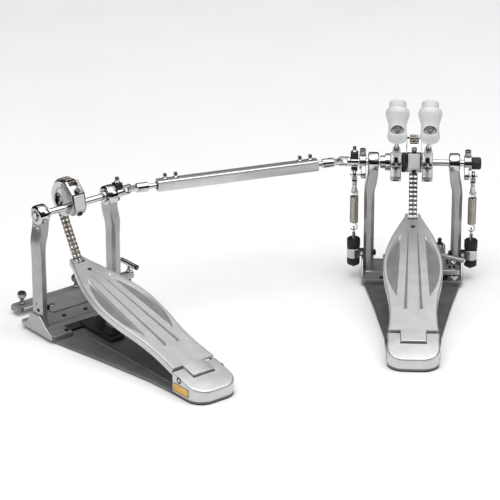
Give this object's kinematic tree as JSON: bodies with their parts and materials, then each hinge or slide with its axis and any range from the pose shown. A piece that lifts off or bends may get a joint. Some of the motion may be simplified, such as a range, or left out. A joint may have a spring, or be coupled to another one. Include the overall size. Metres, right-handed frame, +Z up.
{
  "type": "double bass drum pedal",
  "caption": "Twin bass drum pedal: main pedal with two beaters on a chain-driven shaft, and a second pedal that drives one of them through a telescoping universal-joint shaft.",
  "frame": {"origin": "on the floor under the main beater shaft, midway between the main pedal's posts", "axes": "+X to the player's right along the main beater shaft, +Y towards the drum, +Z up"},
  "size_m": [0.7162, 0.5377, 0.3385],
  "materials": {
    "base_steel": "dark grey powder coat",
    "casting": "silver-grey hammered paint",
    "post_paint": "silver-grey paint",
    "board_aluminium": "brushed cast aluminium",
    "rubber": "moulded black rubber",
    "chrome_steel": "polished chrome",
    "screw_steel": "zinc-plated steel",
    "chain_steel": "dark gunmetal steel",
    "nickel_spring": "nickel-plated spring wire",
    "black_knob": "knurled black",
    "black_metal": "black oxide",
    "beater_plastic": "light grey moulded plastic",
    "beater_pad_plastic": "pale grey hard pad",
    "link_tube": "satin aluminium tube",
    "hub_metal": "polished die-cast aluminium"
  },
  "bodies": {
    "main_frame": {"main_base_plate": "base_steel", "main_bridge": "casting", "main_post_left": "post_paint", "main_post_right": "post_paint", "main_heel_plate": "board_aluminium", "main_rubber_parts": "rubber", "main_hardware": "screw_steel", "spring_brackets": "screw_steel"},
    "tension_nut_left": {"tension_nut_left": "black_knob"},
    "tension_nut_right": {"tension_nut_right": "black_knob"},
    "lock_nut_left": {"lock_nut_left": "black_knob"},
    "lock_nut_right": {"lock_nut_right": "black_knob"},
    "hoop_clamp": {"clamp_lever": "casting"},
    "clamp_screw": {"clamp_screw": "chrome_steel"},
    "main_footboard": {"main_footboard": "board_aluminium"},
    "main_shaft": {"main_shaft": "chrome_steel", "shaft_rubbers": "rubber", "main_cam": "hub_metal", "main_chain_wrap": "chain_steel", "hub_right": "hub_metal", "rocker_right": "hub_metal", "main_shaft_bolts": "screw_steel"},
    "main_chain": {"main_chain_run": "chain_steel"},
    "beater_right": {"beater_rod_right": "chrome_steel", "beater_head_right": "beater_plastic", "beater_pad_right": "beater_pad_plastic"},
    "driven_shaft": {"driven_shaft": "chrome_steel", "hub_left": "hub_metal", "rocker_left": "hub_metal", "driven_yoke": "black_metal", "driven_bolts": "screw_steel"},
    "beater_left": {"beater_rod_left": "chrome_steel", "beater_head_left": "beater_plastic", "beater_pad_left": "beater_pad_plastic"},
    "linkage": {"linkage_tube": "link_tube", "main_link_rod": "chrome_steel", "linkage_bolts": "screw_steel"},
    "spring_swing_left": {"spring_left": "nickel_spring"},
    "spring_swing_right": {"spring_right": "nickel_spring"},
    "spring_link_left": {"spring_link_left": "black_metal"},
    "spring_link_right": {"spring_link_right": "black_metal"},
    "slave_frame": {"slave_base_plate": "base_steel", "slave_bridge": "casting", "slave_post_left": "post_paint", "slave_post_right": "post_paint", "slave_heel_plate": "board_aluminium", "slave_rubber_parts": "rubber", "slave_hardware": "screw_steel", "slave_stabilizer": "base_steel"},
    "slave_spur_left": {"slave_spur_left": "screw_steel"},
    "slave_spur_right": {"slave_spur_right": "screw_steel"},
    "slave_clamp_screw": {"slave_clamp_screw": "chrome_steel"},
    "slave_footboard": {"slave_footboard": "board_aluminium"},
    "slave_shaft": {"slave_shaft": "chrome_steel", "slave_cam": "hub_metal", "slave_chain_wrap": "chain_steel", "slave_yoke": "black_metal", "slave_shaft_bolts": "screw_steel"},
    "slave_chain": {"slave_chain_run": "chain_steel"},
    "slave_link": {"slave_link_rod": "chrome_steel"}
  },
  "joints": [
    {"name": "main_footboard_hinge", "type": "hinge", "parent": "main_frame", "child": "main_footboard", "pos_m": [0, -0.306, 0.027], "axis": [1, 0, 0], "range_deg": [-9.5, 0], "stiffness_Nm_per_rad": 6, "springref_deg": 14.32},
    {"name": "main_shaft_turn", "type": "hinge", "parent": "main_frame", "child": "main_shaft", "pos_m": [0, 0, 0.1914], "axis": [1, 0, 0], "range_deg": [-54.13, 0]},
    {"name": "main_chain_swing", "type": "hinge", "parent": "main_shaft", "child": "main_chain", "pos_m": [0, 0.0472, 0.20395], "axis": [1, 0, 0], "range_deg": [0, 63.38]},
    {"name": "slave_footboard_hinge", "type": "hinge", "parent": "slave_frame", "child": "slave_footboard", "pos_m": [-0.30723, -0.42441, 0.027], "axis": [0.7572, 0.6532, 0], "range_deg": [-9.5, 0], "stiffness_Nm_per_rad": 6, "springref_deg": 14.32},
    {"name": "slave_shaft_turn", "type": "hinge", "parent": "slave_frame", "child": "slave_shaft", "pos_m": [-0.5071, -0.1927, 0.1914], "axis": [0.7572, 0.6532, 0], "range_deg": [-54.13, 0]},
    {"name": "slave_chain_swing", "type": "hinge", "parent": "slave_shaft", "child": "slave_chain", "pos_m": [-0.53793, -0.15696, 0.20395], "axis": [0.7572, 0.6532, 0], "range_deg": [0, 63.38]},
    {"name": "slave_link_turn", "type": "hinge", "parent": "slave_frame", "child": "slave_link", "pos_m": [-0.43138, -0.12738, 0.1914], "axis": [0.928, 0.3725, 0], "range_deg": [-54.13, 0]},
    {"name": "linkage_turn", "type": "hinge", "parent": "main_frame", "child": "linkage", "pos_m": [-0.114, 0, 0.1914], "axis": [0.928, 0.3725, 0], "range_deg": [-54.13, 0]},
    {"name": "driven_shaft_turn", "type": "hinge", "parent": "main_frame", "child": "driven_shaft", "pos_m": [-0.06, 0, 0.1914], "axis": [1, 0, 0], "range_deg": [-54.13, 0]},
    {"name": "slave_telescope", "type": "slide", "parent": "main_frame", "child": "slave_frame", "axis": [-0.928, -0.3725, 0], "range_m": [-0.01, 0.06]},
    {"name": "beater_height_right", "type": "slide", "parent": "main_shaft", "child": "beater_right", "axis": [0, -0.7986, 0.6018], "range_m": [-0.002, 0.01]},
    {"name": "beater_height_left", "type": "slide", "parent": "driven_shaft", "child": "beater_left", "axis": [0, -0.7986, 0.6018], "range_m": [-0.002, 0.01]},
    {"name": "spring_swing_right", "type": "hinge", "parent": "main_frame", "child": "spring_swing_right", "pos_m": [0.0915, -0.006, 0.08], "axis": [1, 0, 0], "range_deg": [0, 2.7]},
    {"name": "spring_stretch_right", "type": "slide", "parent": "spring_swing_right", "child": "spring_link_right", "axis": [0, -0.0832, 0.9965], "range_m": [0, 0.0185], "deforming": ["spring_right"]},
    {"name": "tension_nut_turn_right", "type": "hinge", "parent": "main_frame", "child": "tension_nut_right", "pos_m": [0.0915, -0.006, 0.05], "axis": [0, 0, 1], "continuous": true},
    {"name": "lock_nut_turn_right", "type": "hinge", "parent": "main_frame", "child": "lock_nut_right", "pos_m": [0.0915, -0.006, 0.05], "axis": [0, 0, 1], "continuous": true},
    {"name": "spring_swing_left", "type": "hinge", "parent": "main_frame", "child": "spring_swing_left", "pos_m": [-0.0915, -0.006, 0.08], "axis": [1, 0, 0], "range_deg": [0, 2.7]},
    {"name": "spring_stretch_left", "type": "slide", "parent": "spring_swing_left", "child": "spring_link_left", "axis": [0, -0.0832, 0.9965], "range_m": [0, 0.0185], "deforming": ["spring_left"]},
    {"name": "tension_nut_turn_left", "type": "hinge", "parent": "main_frame", "child": "tension_nut_left", "pos_m": [-0.0915, -0.006, 0.05], "axis": [0, 0, 1], "continuous": true},
    {"name": "lock_nut_turn_left", "type": "hinge", "parent": "main_frame", "child": "lock_nut_left", "pos_m": [-0.0915, -0.006, 0.05], "axis": [0, 0, 1], "continuous": true},
    {"name": "clamp_screw_turn", "type": "hinge", "parent": "main_frame", "child": "clamp_screw", "pos_m": [0.063, -0.034, 0.02], "axis": [0, 0, 1], "range_deg": [0, 1800]},
    {"name": "clamp_lever_tilt", "type": "hinge", "parent": "main_frame", "child": "hoop_clamp", "pos_m": [0.044, 0.012, 0.027], "axis": [1, 0, 0], "range_deg": [-7.5, 0]},
    {"name": "slave_spur_turn_left", "type": "hinge", "parent": "slave_frame", "child": "slave_spur_left", "pos_m": [-0.59505, -0.16423, 0.02], "axis": [0, 0, 1], "continuous": true},
    {"name": "slave_spur_turn_right", "type": "hinge", "parent": "slave_frame", "child": "slave_spur_right", "pos_m": [-0.51922, -0.0975, 0.02], "axis": [0, 0, 1], "continuous": true},
    {"name": "slave_clamp_screw_turn", "type": "hinge", "parent": "slave_frame", "child": "slave_clamp_screw", "pos_m": [-0.43344, -0.12652, 0.05], "axis": [0, 0, 1], "continuous": true}
  ],
  "couplings": [
    {"joint": "main_shaft_turn", "follows": "main_footboard_hinge", "ratio": 5.6869},
    {"joint": "main_chain_swing", "follows": "main_footboard_hinge", "ratio": -6.6606},
    {"joint": "slave_shaft_turn", "follows": "slave_footboard_hinge", "ratio": 5.6869},
    {"joint": "slave_chain_swing", "follows": "slave_footboard_hinge", "ratio": -6.6606},
    {"joint": "slave_link_turn", "follows": "slave_footboard_hinge", "ratio": 5.6869},
    {"joint": "linkage_turn", "follows": "slave_footboard_hinge", "ratio": 5.6869},
    {"joint": "driven_shaft_turn", "follows": "slave_footboard_hinge", "ratio": 5.6869},
    {"joint": "spring_swing_right", "follows": "main_footboard_hinge", "ratio": -0.28164},
    {"joint": "spring_stretch_right", "follows": "main_footboard_hinge", "m_per_rad": -0.11097},
    {"joint": "spring_swing_left", "follows": "slave_footboard_hinge", "ratio": -0.28164},
    {"joint": "spring_stretch_left", "follows": "slave_footboard_hinge", "m_per_rad": -0.11097},
    {"joint": "clamp_lever_tilt", "follows": "clamp_screw_turn", "ratio": -0.004167}
  ]
}
